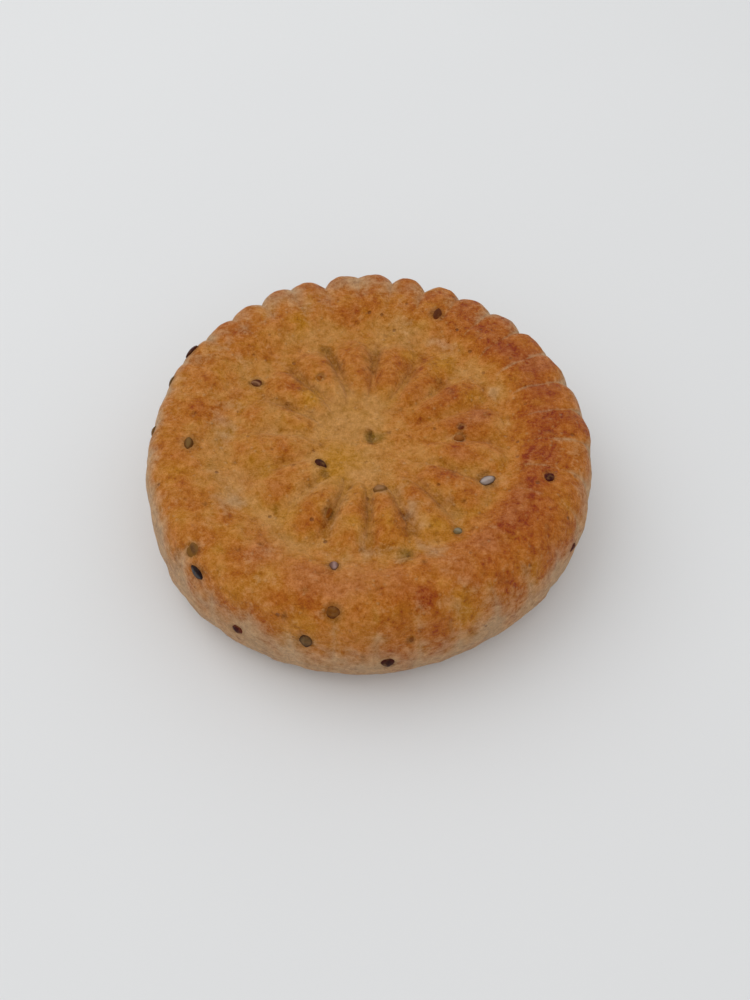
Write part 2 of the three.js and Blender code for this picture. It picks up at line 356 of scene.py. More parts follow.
# The grooves between the petals: sharp lines, each pressed as deep as the mould's carving was clean there.
# On the far side they start and end further out.
GROOVE_SHARES = np.array(
    (0.22, 0.26, 0.40, 0.62, 0.64, 0.58, 0.40, 0.28) + (0.34, 0.28, 0.42, 0.42, 0.46, 0.40, 0.32, 0.30)
)
GROOVE_HALF_WIDTH = 1.15
GROOVE_DEPTH = 0.34
GROOVE_START = 10
GROOVE_START_SHIFT = 3
GROOVE_START_FADE = 3.5
GROOVE_END = 19.5
GROOVE_END_SHIFT = 1.5
GROOVE_END_FADE = 3
FAR_SIDE_WAVE = ((1, 0.5, 95),)
from_rosette = smooth_crust[..., :2] - ROSETTE_CENTRE
rosette_radius = np.hypot(from_rosette[..., 0], from_rosette[..., 1])
rosette_bearing = np.degrees(np.arctan2(from_rosette[..., 1], from_rosette[..., 0]))
pitches_there = (rosette_bearing - PETAL_START_DEGREES - waves(PETAL_WAVES, rosette_bearing)) * PETALS / 360
groove_number = np.floor(pitches_there).astype(int) % PETALS
off_groove = np.abs(pitches_there - np.floor(pitches_there) - 0.5) * 2 * np.pi / PETALS * rosette_radius
# The same share also paints brown shade into the crust's colour along each groove.
groove = GROOVE_SHARES[groove_number] * np.exp(-((off_groove / GROOVE_HALF_WIDTH) ** 2))
rosette_far_side = 0.5 + waves(FAR_SIDE_WAVE, rosette_bearing)
groove_start = GROOVE_START + GROOVE_START_SHIFT * rosette_far_side
groove_end = GROOVE_END + GROOVE_END_SHIFT * rosette_far_side
groove = groove * smoothstep(groove_start, groove_start + GROOVE_START_FADE, rosette_radius)
groove = groove * (1 - smoothstep(groove_end, groove_end + GROOVE_END_FADE, rosette_radius))

# The grain of the baked dough: soft lumps, crumb and pores, each layer a size, a height and a draw, then a
# shallow hollow round each seed that the dough laps into unevenly, and the sharp creases where two flutes
# meet.
GRAIN_LAYERS = ((6.0, 0.12, 11), (2.4, 0.13, 12), (1.3, 0.085, 13), (0.7, 0.04, 14))
GRAIN_FADE_HEIGHT = 3
HALO_REACH = 1.25
HALO_DEPTH = 0.14
LAP_HEIGHT = 0.10
LAP_SIZE = 0.8
LAP_DRAW_SEED = 15
CREASE_DEPTH = 0.17
CREASE_POWER = 9
CREASED_SHARES = (0.15, 0.5)
CREASE_DEEPENS = (0.80, 0.95)
CREASE_FADES = (1.9, 2.4)
grain = sum(height * soft_noise(smooth_crust, size, draw) for size, height, draw in GRAIN_LAYERS)
seed_halo = np.zeros(smooth_crust.shape[:2])
for degrees, step, length, width, turn, look in seeds_placed:
    bed = seed_bed(degrees, step)[0]
    distance = np.linalg.norm(smooth_crust - bed, axis=-1) / (length / 2)
    seed_halo = np.maximum(seed_halo, np.exp(-((distance / HALO_REACH) ** 4)))
flutes_there = (columns - FLUTE_START_DEGREES) * FLUTES / 360
valleys_there = np.floor(flutes_there).astype(int) % FLUTES
across_flute = np.abs(2 * (flutes_there - np.round(flutes_there)))
crease = across_flute**CREASE_POWER * smoothstep(*CREASED_SHARES, VALLEY_SHARES[valleys_there])
crease = crease * smoothstep(*CREASE_DEEPENS, steps) * (1 - smoothstep(*CREASE_FADES, steps))
lapping = LAP_HEIGHT * soft_noise(smooth_crust, LAP_SIZE, LAP_DRAW_SEED) - HALO_DEPTH
grain = grain * (1 - seed_halo) + lapping * seed_halo - CREASE_DEPTH * crease - GROOVE_DEPTH * groove
grain = grain * smoothstep(0, GRAIN_FADE_HEIGHT, smooth_crust[..., 2])
crust_grid = crust_point(steps, columns, grain)

# How far each place is browned, before the finer mottling of the finish: 0 is pale dough, 0.5 orange-brown
# and 1 red-brown. It follows the mould's relief, which browns where it stands highest, and the rim is
# darker on the right, away from the light, partly toasted most there and partly painted shade.
DISC_BROWNING = 0.10
DISC_EDGE = (6, 10)
FIELD_BROWNING = 0.26
PETAL_BROWNING = 0.29
RIM_BROWNING = 0.56
CROWN_BROWNING = 0.12
BASE_BROWNING = 0.62
HOT_AND_SHADED_SIDE_WAVES = ((1, 0.08, -25),)
TOAST_AND_SHADE = 0.26
TOAST_MIDDLE = 2
TOAST_SPREAD = 62
TOAST_RADIUS = 28.9
TOAST_WIDTH = 3.3
TOAST_WAVES = ((1, 2.6, 90),)
SHOULDER_STARTS = (0.9, 1.2)

radius_there = np.hypot(smooth_crust[..., 0], smooth_crust[..., 1])
on_shoulder = smoothstep(*SHOULDER_STARTS, steps)
petal_there = petal_back(smooth_crust[..., 0], smooth_crust[..., 1])
rim_there = smoothstep(RING_RADIUS, RIM_CREST_RADIUS - 1, radius_there)
browned = FIELD_BROWNING + (RIM_BROWNING - FIELD_BROWNING) * rim_there + PETAL_BROWNING * petal_there
browned = browned - (FIELD_BROWNING - DISC_BROWNING) * (1 - smoothstep(*DISC_EDGE, radius_there))
# Painted shade in part: the rim darker on the right, the side away from the light.
browned = browned + waves(HOT_AND_SHADED_SIDE_WAVES, columns) * rim_there
# The band toasted most on the right's rim is partly painted shade too.
off_toast = np.abs((columns - TOAST_MIDDLE + 180) % 360 - 180) / TOAST_SPREAD
across_toast = (radius_there - TOAST_RADIUS - waves(TOAST_WAVES, columns)) / TOAST_WIDTH
browned = browned + TOAST_AND_SHADE * np.exp(-(off_toast**4) - across_toast**2)
browned = browned + CROWN_BROWNING * (0.5 - across_flute**2) * on_shoulder


PATCH_FADE = 3


def patches(places):
    """A field of soft round patches on the top and shoulder. Each is a bearing, a radius, a half-width in
    millimetres and a strength, and adds its strength times a bell curve of the distance from its middle.
    They fade out over the widest line."""
    field = np.zeros(smooth_crust.shape[:2])
    for degrees, radius, half_width, strength in places:
        middle = radius * np.cos(np.radians(degrees)), radius * np.sin(np.radians(degrees))
        away = np.hypot(smooth_crust[..., 0] - middle[0], smooth_crust[..., 1] - middle[1])
        field = field + strength * np.exp(-((away / half_width) ** 2))
    return field * smoothstep(WIDEST_HEIGHT - PATCH_FADE, WIDEST_HEIGHT + PATCH_FADE, smooth_crust[..., 2])


# Where the oven browned the crust more, along the rim and in blotches, and where less.
browned = browned + patches(
    (
        (96, 27.5, 2.0, 0.35), (113, 31.0, 3.0, 0.12), (137, 32.0, 3.0, 0.20), (133, 25.3, 2.5, 0.10),
        (157, 31.8, 3.0, 0.12), (171, 25.7, 2.0, 0.30), (173, 28.8, 1.6, 0.22), (166, 21.1, 2.6, 0.14),
        (163, 12.6, 2.6, 0.16), (89, 18.7, 2.0, 0.14), (84, 10.9, 2.0, 0.14), (86, 36.1, 2.0, 0.20),
        (78, 33.9, 2.0, 0.15), (58, 33.6, 2.2, 0.26), (45, 35.1, 2.0, 0.20), (48, 30.0, 3.0, 0.20),
        (56, 26.8, 2.0, 0.18), (36, 29.7, 1.5, 0.25), (40, 27.0, 1.5, 0.15), (27, 31.8, 2.5, 0.18),
        (17, 30.9, 3.0, 0.14), (5, 30.0, 2.5, 0.10), (2, 35.9, 2.0, 0.20), (2, 33.0, 3.0, 0.08),
        (349, 27.0, 2.5, 0.12), (348, 31.8, 3.0, 0.18), (335, 26.9, 2.0, 0.14), (336, 30.9, 3.0, 0.16),
        (323, 29.0, 2.2, 0.30), (316, 29.6, 2.0, 0.28), (323, 33.3, 3.0, 0.12), (311, 30.0, 2.0, 0.14),
        (300, 32.8, 3.0, 0.10), (297, 34.2, 2.0, 0.06), (285, 33.0, 1.7, 0.62), (282, 34.1, 3.0, 0.02),
        (274, 32.3, 3.0, 0.04), (269, 33.9, 3.0, 0.02), (254, 32.7, 1.6, 0.22), (236, 29.6, 2.0, 0.14),
        (225, 29.7, 1.8, 0.20), (244, 21.7, 2.0, 0.20), (243, 18.8, 2.0, 0.14), (219, 18.7, 3.0, 0.10),
        (33, 16.9, 1.5, 0.28), (48, 15.0, 1.2, 0.20), (35, 8.9, 3.0, 0.14), (29, 14.2, 4.0, 0.12),
        (14, 19.6, 1.8, 0.38), (345, 15.8, 2.0, 0.26), (325, 14.5, 2.5, 0.18), (341, 22.8, 1.5, 0.20),
        (318, 20.8, 1.2, 0.20), (324, 37.5, 1.2, 0.20), (170, 11.0, 4.0, -0.12), (200, 11.0, 3.0, -0.10),
        (117, 26.0, 4.0, -0.12), (79, 25.0, 2.5, -0.20), (70, 24.7, 2.0, -0.14), (109, 11.5, 3.0, -0.10),
        (118, 6.1, 4.0, -0.10), (175, 16.1, 2.5, -0.12), (179, 23.6, 2.5, -0.15), (24, 24.1, 2.5, -0.20),
        (37, 23.6, 2.0, -0.14), (320, 25.1, 3.0, -0.12), (314, 20.1, 2.0, -0.14), (299, 19.1, 2.5, -0.12),
        (260, 18.2, 2.0, -0.14), (245, 23.9, 3.0, -0.10), (225, 24.4, 4.0, -0.08),
        (204, 34.6, 3.0, -0.10), (255, 36.5, 3.0, -0.10), (105, 10.5, 3.5, -0.14),
        (135, 10.5, 3.5, -0.18), (160, 10.5, 3.0, -0.06), (195, 11.0, 3.0, -0.10),
        (225, 10.5, 3.5, -0.26), (245, 10.0, 3.5, -0.30), (240, 15.0, 3.5, -0.12),
        (150, 15.0, 3.0, -0.10), (272, 14.5, 3.0, -0.08), (345, 4.5, 4.0, 0.08), (25, 6.0, 4.5, 0.08),
        (80, 6.0, 4.0, -0.04), (150, 5.0, 4.0, -0.06), (0, 15.5, 4.0, 0.14), (20, 15.0, 4.0, 0.10),
        (45, 12.0, 4.0, 0.08), (0, 20.0, 3.5, 0.12), (25, 20.0, 3.5, 0.10), (55, 20.5, 3.5, 0.10),
        (330, 12.0, 4.0, 0.08), (330, 20.0, 3.5, 0.10), (150, 25.3, 3.0, -0.14), (165, 25.0, 3.0, -0.14),
        (180, 25.3, 3.0, -0.18), (195, 25.3, 3.0, -0.14), (212, 25.5, 3.0, -0.12),
        (228, 25.5, 3.0, -0.10), (243, 25.5, 3.0, -0.12), (205, 30.0, 3.0, -0.08),
        (225, 30.0, 3.0, -0.06), (240, 30.0, 3.0, -0.10), (270, 30.0, 3.0, -0.08),
        (300, 29.5, 3.0, -0.10), (330, 29.0, 3.0, 0.08), (300, 36.5, 3.5, -0.16), (296, 15.5, 1.8, -0.20),
        (296, 19.5, 2.0, -0.18), (272, 19.0, 1.6, 0.10), (288, 18.5, 1.0, 0.14), (120, 10.5, 3.5, -0.10),
        (235, 12.0, 4.0, -0.10), (240, 17.0, 3.5, -0.06), (165, 14.0, 4.0, -0.06), (0, 23.5, 3.0, 0.08),
        (60, 21.0, 3.0, 0.08), (30, 20.5, 3.0, 0.06), (195, 26.5, 3.5, -0.08), (240, 26.5, 3.5, -0.08),
        (300, 31.0, 3.5, -0.08), (270, 33.5, 3.5, -0.10), (345, 36.5, 4.0, -0.08),
        (347.5, 27.0, 2.0, 0.20), (27, 33.5, 2.4, 0.34), (90, 35.8, 2.5, 0.10), (102, 36.0, 2.5, 0.26),
        (116, 36.0, 2.5, 0.22), (332, 30.8, 2.2, 0.10), (240, 32.5, 3.0, -0.10), (298, 31.5, 2.2, 0.10),
        (285, 25.2, 2.0, -0.08), (283, 34.5, 2.5, -0.14), (270, 20.5, 1.5, -0.26),
    )
)

# Where the spice shows yellow through the crust.
golden = patches(
    (
        (50, 19.5, 2.5, 1.10), (67, 18.8, 1.6, 0.90), (24, 21.1, 1.5, 0.60), (141, 12.4, 2.5, 0.80),
        (238, 6.7, 3.0, 1.00), (234, 10.4, 2.2, 0.70), (280, 17.4, 2.0, 0.90), (296, 10.5, 2.0, 0.50),
        (304, 22.1, 2.0, 0.90), (302, 24.5, 1.5, 0.50), (265, 18.0, 1.5, 0.80), (232, 20.5, 2.0, 0.80),
        (204, 18.0, 2.5, 0.70), (228, 34.2, 2.8, 0.45), (237, 36.6, 2.2, 0.35), (196, 30.9, 2.5, 0.50),
        (254, 35.2, 3.0, 0.50), (295, 36.0, 2.5, 0.50), (314, 35.8, 3.0, 0.50), (117, 26.9, 3.0, 0.40),
        (93, 25.1, 2.0, 0.50), (343, 22.6, 1.5, 0.60), (285, 23.3, 2.0, 0.40),
    )
)

# Where the dough stayed olive: the pit, parts of the ring and the hollows beside some of the seeds.
olive = patches(
    (
        (341, 0.7, 1.1, 1.40), (350, 2.4, 1.3, 0.80), (112, 20.1, 1.8, 0.50), (110, 16.5, 1.5, 0.40),
        (86, 19.2, 1.2, 0.50), (85, 23.1, 1.2, 0.40), (284, 24.4, 1.8, 0.90), (277, 23.3, 1.5, 0.40),
        (232, 10.8, 1.0, 0.70), (312, 21.5, 1.2, 0.70), (285, 11.7, 1.6, 0.40), (150, 21.8, 1.6, 0.50),
        (227, 20.8, 1.2, 0.40), (358, 12.9, 1.2, 0.40), (219, 37.0, 1.6, 0.40), (207, 25.1, 1.2, 0.30),
        (2, 22.2, 1.5, 0.30), (75, 22.5, 1.2, 0.30), (71, 24.7, 1.2, 0.40),
    )
)

# Painted shade, darker than in the grooves, in the pit's bottom and in pores; scorched nicks are nearly as
# dark.
groove = groove + patches(
    (
        (62, 1.0, 0.65, 1.3), (350, 0.6, 0.65, 1.4), (306, 1.3, 0.65, 1.2), (232, 10.9, 0.6, 1.2),
        (6.0, 3.7, 0.40, 1.4), (124.4, 14.5, 0.60, 0.7), (148.0, 21.2, 0.50, 0.8),
        (150.5, 23.0, 0.50, 0.8), (209.5, 13.6, 0.40, 0.9), (268.5, 22.6, 0.50, 0.9),
        (195.2, 22.3, 0.40, 0.8), (269.2, 37.7, 0.55, 0.7), (256.7, 11.3, 0.50, 0.8),
        (240.5, 14.2, 0.40, 0.7), (317.8, 20.8, 0.45, 1.1), (136.6, 16.5, 0.70, 0.7),
        (197.3, 7.8, 0.40, 0.7), (154.3, 15.0, 0.50, 0.7), (211.2, 29.3, 0.40, 1.0),
        (297.9, 21.2, 0.40, 0.9), (288.8, 27.1, 0.45, 0.8), (173.6, 28.8, 0.50, 0.8),
        (234.3, 27.5, 0.50, 0.7), (207.2, 31.8, 0.45, 0.7), (297.7, 23.9, 0.45, 0.8),
        (250.6, 35.8, 0.50, 0.8), (248.1, 15.6, 0.50, 0.7), (81.9, 22.9, 0.50, 0.7),
        (290.5, 36.4, 0.50, 0.7), (253.8, 31.9, 0.55, 0.8), (182.8, 20.4, 0.40, 0.6),
        (8.5, 24.0, 0.50, 0.7), (42.2, 7.8, 0.50, 0.5), (160.4, 30.1, 0.40, 0.8),
        (290.9, 17.6, 0.70, 0.6), (283.5, 23.8, 0.70, 0.6), (31.4, 16.6, 0.75, 0.5),
        (311.0, 25.3, 0.70, 0.5), (295.8, 33.8, 0.45, 0.6),
    )
)

# Where it stayed pale and floury: parts of the ring, the creases between the flutes, and the flank. On the
# far side the flank is pale from further up, but for the crowns of the flutes, partly as painted sheen
# where that side is seen edge-on; the pale creases on the right are partly a painted highlight along them.
PALE_FROM = 1.08
PALE_FROM_WAVES = ((1, 0.46, 285),)
PALE_FADE = 0.62
FLANK_PALENESS = 0.98
VALLEY_PALENESS = 0.35
BASE_PALENESS = 0.35
VALLEY_PALES = (1.0, 1.3)
OVER_THE_EDGE = (1.0, 1.5)
FAR_CROWN_BROWNING = 0.24
FAR_CROWN_FADES = (1.3, 2.2)
BACK_FLANK_BROWNING = 0.44
BACK_FLANK_SHARES = (0.55, 0.9)
BACK_FLANK_STARTS = (1.0, 1.25)
BACK_FLANK_ENDS = (1.4, 2.1)
PALE_CREASE_SHARE = 0.58
PALE_CREASE_POWER = 8
PALE_CREASE_STARTS = (0.76, 0.88)
PALE_CREASE_ENDS = (1.5, 2.0)
PALE_CREASE_MIDDLE = 16
PALE_CREASE_SPREAD = 42
# Painted sheen in part: towards the far side, seen edge-on, the pale starts further up.
pale_from = PALE_FROM + waves(PALE_FROM_WAVES, columns)
pale_crease = across_flute**PALE_CREASE_POWER * smoothstep(*PALE_CREASE_STARTS, steps)
pale_crease = pale_crease * (1 - smoothstep(*PALE_CREASE_ENDS, steps))
paled = FLANK_PALENESS * smoothstep(0, PALE_FADE, steps - pale_from)
# Painted highlight in part: the pale creases, shown only on the right.
off_middle = np.abs((columns - PALE_CREASE_MIDDLE + 180) % 360 - 180)
paled = paled + PALE_CREASE_SHARE * np.exp(-((off_middle / PALE_CREASE_SPREAD) ** 4)) * pale_crease
over_the_edge = smoothstep(*VALLEY_PALES, steps) * smoothstep(*OVER_THE_EDGE, steps)
paled = paled + VALLEY_PALENESS * across_flute**3 * over_the_edge
on_far_side = 0.5 + waves(FAR_SIDE_WAVE, columns)
on_crown = 1 - across_flute**2
paled = paled - FAR_CROWN_BROWNING * on_far_side * on_crown * (1 - smoothstep(*FAR_CROWN_FADES, steps))
on_back_flank = smoothstep(*BACK_FLANK_SHARES, on_far_side) * smoothstep(*BACK_FLANK_STARTS, steps)
on_back_flank = on_back_flank * (1 - smoothstep(*BACK_FLANK_ENDS, steps))
paled = paled - BACK_FLANK_BROWNING * on_back_flank * (1 + on_crown) / 2
paled = paled + patches(
    (
        (57, 24.1, 2.2, 0.55), (215, 25.2, 2.2, 0.60), (183, 23.4, 1.8, 0.40), (173, 24.4, 1.5, 0.40),
        (132, 21.7, 1.8, 0.50), (294, 24.9, 2.2, 0.60), (272, 23.2, 1.6, 0.50), (280, 22.6, 1.5, 0.30),
        (22, 23.5, 1.5, 0.50), (357, 15.4, 1.2, 0.50), (314, 18.9, 1.5, 0.40), (291, 23.3, 1.5, 0.40),
        (75, 24.8, 2.0, 0.35), (293, 17.8, 1.0, 0.40), (352, 34.1, 2.5, 0.40), (341, 35.9, 2.5, 0.40),
        (113, 35.9, 1.5, 0.50), (121, 36.4, 1.5, 0.40), (143, 35.7, 1.5, 0.40), (64, 33.1, 1.2, 0.40),
        (180, 25.0, 3.0, 0.32), (150, 25.0, 2.5, 0.26), (210, 25.3, 2.5, 0.20), (238, 25.0, 3.0, 0.16),
        (297, 12.5, 1.6, 0.45), (162, 23.0, 2.5, 0.45), (283, 26.0, 2.0, 0.36), (240, 33.0, 3.0, 0.26),
        (45, 36.8, 3.0, 0.20), (190, 35.2, 3.0, 0.22), (205, 35.2, 3.0, 0.22), (221, 35.4, 3.0, 0.20),
        (296, 16.0, 1.4, 0.35), (294, 20.0, 1.6, 0.30), (309, 22.0, 1.4, 0.50), (280, 12.0, 1.8, 0.50),
        (300, 37.0, 3.5, 0.45), (225, 10.5, 3.0, 0.12),
    )
)

# Where a rosy bloom lies over the browned crust.
rosy = patches(
    (
        (58, 24.8, 2.5, 0.80), (10, 19.3, 2.0, 1.30), (5, 16.4, 1.5, 0.80), (297, 29.6, 2.5, 1.10),
        (311, 28.9, 2.5, 1.00), (306, 28.1, 2.5, 0.60), (324, 28.0, 2.5, 1.00), (333, 26.9, 1.8, 0.80),
        (27, 33.4, 2.4, 1.20), (298, 32.0, 2.0, 0.50), (105, 35.5, 3.0, 0.50), (252, 29.6, 3.0, 1.30),
        (262, 30.8, 3.0, 1.00), (277, 29.2, 3.0, 0.90), (268, 28.8, 2.5, 0.90), (283, 31.8, 1.6, 0.70),
        (219, 18.7, 2.0, 0.70), (160, 24.0, 2.0, 0.50), (168, 24.4, 1.5, 0.50), (85, 36.6, 2.0, 0.60),
        (78, 34.1, 2.0, 0.50), (57, 32.9, 1.6, 0.60), (46, 34.4, 2.0, 0.60), (139, 33.3, 2.0, 0.50),
        (106, 31.2, 3.0, 0.50), (94, 32.5, 3.0, 0.50), (96, 27.5, 1.5, 0.50), (342, 16.0, 1.6, 0.90),
        (201, 23.4, 2.0, 0.50), (236, 27.2, 3.0, 0.50), (237, 30.0, 2.6, 0.80), (325, 37.6, 2.0, 0.40),
        (269, 37.3, 4.0, 0.30), (228, 38.1, 4.0, 0.40),
    )
)


def grid_mesh(name, rows, closing_points):
    """A closed mesh from rings of points, from the middle of the top outwards and down, with the two
    closing points joined to the first and the last ring by fans."""
    ring_count, column_count = rows.shape[:2]
    points = np.concatenate([rows.reshape(-1, 3), closing_points]) * MILLIMETRE
    ring = np.arange(ring_count - 1)[:, None] * column_count
    column = np.arange(column_count)[None]
    following = (column + 1) % column_count
    quads = np.stack(
        [ring + column, ring + column_count + column, ring + column_count + following, ring + following],
        axis=-1,
    ).reshape(-1, 4)
    around = np.arange(column_count)
    onward = (around + 1) % column_count
    first_pole, last_pole = len(points) - 2, len(points) - 1
    last_ring = (ring_count - 1) * column_count
    first_fan = np.stack([np.full(column_count, first_pole), around, onward], axis=-1)
    last_fan = np.stack([np.full(column_count, last_pole), last_ring + onward, last_ring + around], axis=-1)
    mesh = bpy.data.meshes.new(name)
    mesh.from_pydata(points.tolist(), [], quads.tolist() + first_fan.tolist() + last_fan.tolist())
    mesh.polygons.foreach_set("use_smooth", np.ones(len(mesh.polygons), dtype=bool))
    return mesh


# The underside: rings shrink over the flat base to its middle. The whole is centred on the CAD box.
base_shares = np.linspace(1, 0, BASE_ROWS, endpoint=False)[1:, None, None]
base_rows = crust_grid[-1][None] * base_shares
all_rows = np.concatenate([crust_grid, base_rows])
top_middle = crust_grid[0].mean(axis=0)
base_middle = np.array([0.0, 0.0, 0.0])
own_low = np.minimum(all_rows.reshape(-1, 3).min(axis=0), 0)
own_high = all_rows.reshape(-1, 3).max(axis=0)
into_frame = (cad_low + cad_high) / 2 / MILLIMETRE - (own_low + own_high) / 2
into_frame[2] = 0.0

crust_mesh = grid_mesh("crust", all_rows + into_frame, np.stack([top_middle, base_middle]) + into_frame)


def paint(mesh, name, values):
    """Puts one number for each vertex into a named attribute."""
    attribute = mesh.attributes.new(name, "FLOAT", "POINT")
    attribute.data.foreach_set("value", np.asarray(values, dtype=np.float32))


def over_whole_crust(on_grid, on_base):
    """Values of the grid's rows, then one value for the underside and the two middles."""
    base_count = base_rows.shape[0] * base_rows.shape[1]
    grid_values = np.broadcast_to(on_grid, crust_grid.shape[:2]).ravel()
    return np.concatenate([grid_values, np.full(base_count, on_base), [grid_values[0], on_base]])


paint(crust_mesh, "browned", over_whole_crust(browned, BASE_BROWNING))
paint(crust_mesh, "paled", over_whole_crust(paled, BASE_PALENESS))
paint(crust_mesh, "golden", over_whole_crust(golden, 0.0))
paint(crust_mesh, "olive", over_whole_crust(olive, 0.0))
paint(crust_mesh, "rosy", over_whole_crust(rosy, 0.0))
paint(crust_mesh, "groove", over_whole_crust(groove, 0.0))
paint(crust_mesh, "seed_halo", over_whole_crust(seed_halo, 0.0))
crust = bpy.data.objects.new("crust", crust_mesh)
bpy.context.scene.collection.objects.link(crust)


def new_finish(name):
    """A new material with its shader, and a function that adds a node to it. It takes the node's settings,
    then its inputs, by name or as i and a number, each a value or another node's output."""
    finish = bpy.data.materials.new(name)
    finish.use_nodes = True
    nodes, links = finish.node_tree.nodes, finish.node_tree.links
    shader = nodes["Principled BSDF"]

    def node(kind, settings=None, **inputs):
        made = nodes.new("ShaderNode" + kind)
        for key, value in (settings or {}).items():
            setattr(made, key, value)
        for key, value in inputs.items():
            socket = made.inputs[int(key[1:])] if key[0] == "i" and key[1:].isdigit() else made.inputs[key]
            if isinstance(value, bpy.types.NodeSocket):
                links.new(value, socket)
            else:
                socket.default_value = value
        return made

    return finish, shader, node, links


# The colours of the baked crust, from pale dough to red-brown by how far it is browned, then the others.
CRUST_COLOURS = (
    (0.00, (0.528, 0.247, 0.060, 1)),
    (0.25, (0.515, 0.212, 0.037, 1)),
    (0.50, (0.487, 0.167, 0.020, 1)),
    (0.75, (0.418, 0.113, 0.004, 1)),
    (1.00, (0.335, 0.068, 0.001, 1)),
)
SPICE_YELLOW = (0.48, 0.200, 0.004, 1)
ROSY_BLOOM = (0.47, 0.156, 0.042, 1)
GROOVE_SHADE_BROWN = (0.250, 0.086, 0.006, 1)
OLIVE_DOUGH = (0.225, 0.118, 0.010, 1)
DEEP_SHADE_AND_SCORCH = (0.120, 0.050, 0.006, 1)
FLOURY_DOUGH = (0.475, 0.298, 0.158, 1)
DARKER_ROUND_SEEDS = (0.19, 0.100, 0.030, 1)
BURNT_PIT = (0.18, 0.055, 0.010, 1)
PALE_SEMOLINA_AND_GLINT = (0.60, 0.36, 0.16, 1)
CRUMB_LIGHT_AND_SHADE_TINT = (1.24, 0.68, 0.31)
DARKEST_CRUMB_SHADE = (0.12, 0.03, 0.003)
# The patterns in it: how many to the metre, how many octaves, how rough and, for one, how twisted.
CLOUDS = (150, 2, 0.5)
MOTTLE = (380, 3, 0.55)
CRUMB = (900, 4, 0.9)
SPICE = (220, 3, 0.5, 0.4)
BLOOM = (260, 3, 0.5)
FLOUR = (450, 4, 0.65)
FLOUR_DRIFTS = (110, 2, 0.5)
SOFT_CRUMB = (480, 2, 0.5)
BURNT_PITS = 450
SEMOLINA_GRAINS = 1300
CRUST_SPECULAR = 0.13
CRUST_SHEEN = 0.07
CRUST_SHEEN_ROUGHNESS = 0.45
CRUMB_RELIEF = 0.0004


